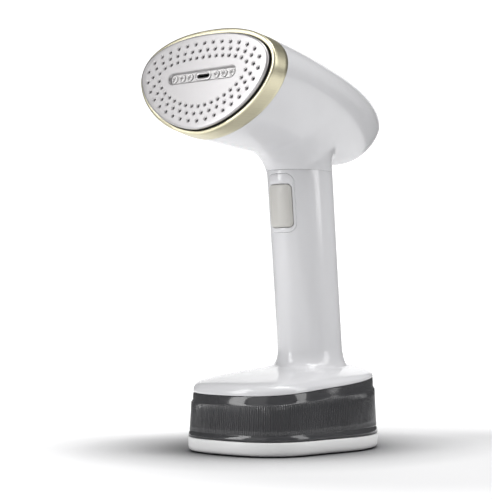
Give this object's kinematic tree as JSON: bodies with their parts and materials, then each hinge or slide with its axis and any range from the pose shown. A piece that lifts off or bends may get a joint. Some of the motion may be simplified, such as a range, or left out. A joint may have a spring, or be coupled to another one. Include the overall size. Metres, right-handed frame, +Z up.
{
  "type": "garment steamer",
  "caption": "Upright handheld garment steamer: perforated steam head on a slim handle, with a smoked water tank as its base.",
  "frame": {"origin": "middle of the sole pad's underside, on the surface that the steamer stands on", "axes": "+Z up, the steam plate faces -Y, X = 0 is the plane of symmetry"},
  "size_m": [0.1196, 0.2128, 0.283],
  "materials": {
    "white_shell": "high-gloss moulded white ABS",
    "white_foot": "fine satin moulded off-white",
    "smoked_tank": "smoked clear plastic with a reeded band",
    "plate_metal": "satin silver-grey coated aluminium",
    "champagne_ring": "champagne-gold, finely brushed around the ring",
    "trigger_grey": "warm light grey satin plastic",
    "dark_rubber": "black silicone rubber",
    "black_plastic": "black glass-filled plastic",
    "cast_aluminium": "die-cast, as cast",
    "steel": "bright plated steel",
    "copper_coil": "enamelled copper winding",
    "silicone_tube": "milky silicone",
    "board_green": "solder-masked circuit board",
    "amber_lens": "tinted clear plastic",
    "lead_red": "silicone-sleeved lead",
    "lead_blue": "silicone-sleeved lead"
  },
  "bodies": {
    "base": {"foot": "white_foot", "foot_screw_1": "steel", "foot_screw_2": "steel", "foot_screw_3": "steel", "foot_screw_4": "steel", "sole_pad": "dark_rubber", "tank_floor": "smoked_tank", "water_tank": "smoked_tank"},
    "handset": {"body_shell": "white_shell", "carrier_screw_1": "steel", "carrier_screw_2": "steel", "carrier_screw_3": "steel", "carrier_screw_4": "steel", "chamber_baffle": "cast_aluminium", "chamber_carrier": "black_plastic", "control_board": "board_green", "cord_bush": "dark_rubber", "feed_tube": "silicone_tube", "head_housing": "white_shell", "heating_element": "steel", "indicator_lens": "amber_lens", "intake_filter": "black_plastic", "intake_tube": "silicone_tube", "line_capacitor": "amber_lens", "live_lead": "lead_red", "microswitch": "black_plastic", "neutral_lead": "lead_blue", "nozzle_strip": "plate_metal", "plate_gasket": "dark_rubber", "power_relay": "black_plastic", "pump_coil": "copper_coil", "pump_mount_lower": "dark_rubber", "pump_mount_upper": "dark_rubber", "pump_yoke": "steel", "rear_cover": "white_shell", "steam_chamber": "cast_aluminium", "steam_plate": "plate_metal", "switch_bracket": "black_plastic", "tact_switch": "black_plastic", "tank_seal": "dark_rubber", "thermal_fuse": "silicone_tube", "thermostat": "black_plastic", "trigger_bezel": "white_shell", "trigger_spring": "steel", "trim_ring": "champagne_ring", "underplate": "black_plastic", "underplate_screw_1": "steel", "underplate_screw_2": "steel", "underplate_screw_3": "steel", "water_pump": "black_plastic"},
    "trigger": {"trigger": "trigger_grey"},
    "power_button": {"power_button": "trigger_grey"}
  },
  "joints": [
    {"name": "tank_release", "type": "slide", "parent": "base", "child": "handset", "axis": [0, 0, 1], "range_m": [0, 0.045]},
    {"name": "trigger_press", "type": "slide", "parent": "handset", "child": "trigger", "axis": [0, 0.9956, 0.0934], "range_m": [0, 0.0022], "stiffness_N_per_m": 900, "springref_m": -0.002},
    {"name": "button_press", "type": "slide", "parent": "handset", "child": "power_button", "axis": [0, -0.9956, -0.0934], "range_m": [0, 0.0008], "stiffness_N_per_m": 1200, "springref_m": -0.001}
  ]
}
